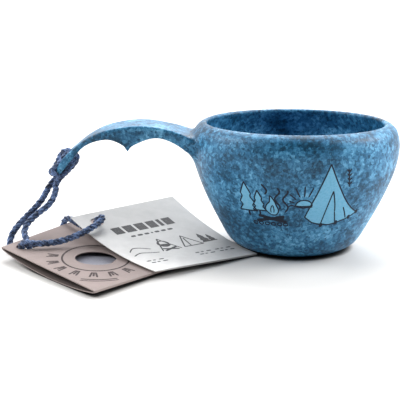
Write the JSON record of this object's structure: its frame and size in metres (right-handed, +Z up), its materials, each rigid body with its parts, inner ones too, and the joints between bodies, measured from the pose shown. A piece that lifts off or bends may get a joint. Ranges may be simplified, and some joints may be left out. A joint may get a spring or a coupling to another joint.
{
  "type": "kuksa cup",
  "caption": "Moulded drinking cup with a two-finger handle, a cord loop hitched through the handle's eye, and a card sleeve and leaflet threaded on the cord.",
  "frame": {"origin": "centre of the cup's flat base, on the surface that it stands on", "axes": "+Z up, the handle points along -X, and the side with the engraved drawing faces -Y"},
  "size_m": [0.1894, 0.1336, 0.0616],
  "materials": {
    "cup_composite": "satin moulded wood-fibre composite, mottled blue",
    "cord_fibre": "twisted two-tone blue yarn with loose fibres",
    "kraft_card": "matt unbleached card",
    "leaflet_paper": "smooth uncoated white paper"
  },
  "bodies": {
    "cup": {"cup_body": "cup_composite", "cord_hitch": "cord_fibre"},
    "cord_loop": {"cord_front_strand": "cord_fibre", "cord_return_strand": "cord_fibre", "cord_knot": "cord_fibre", "card_sleeve": "kraft_card", "leaflet": "leaflet_paper"}
  },
  "joints": [
    {"name": "cord_swing", "type": "hinge", "parent": "cup", "child": "cord_loop", "pos_m": [-0.1173, 0, 0.0315], "axis": [0, 0, 1], "range_deg": [-90, 0]}
  ]
}
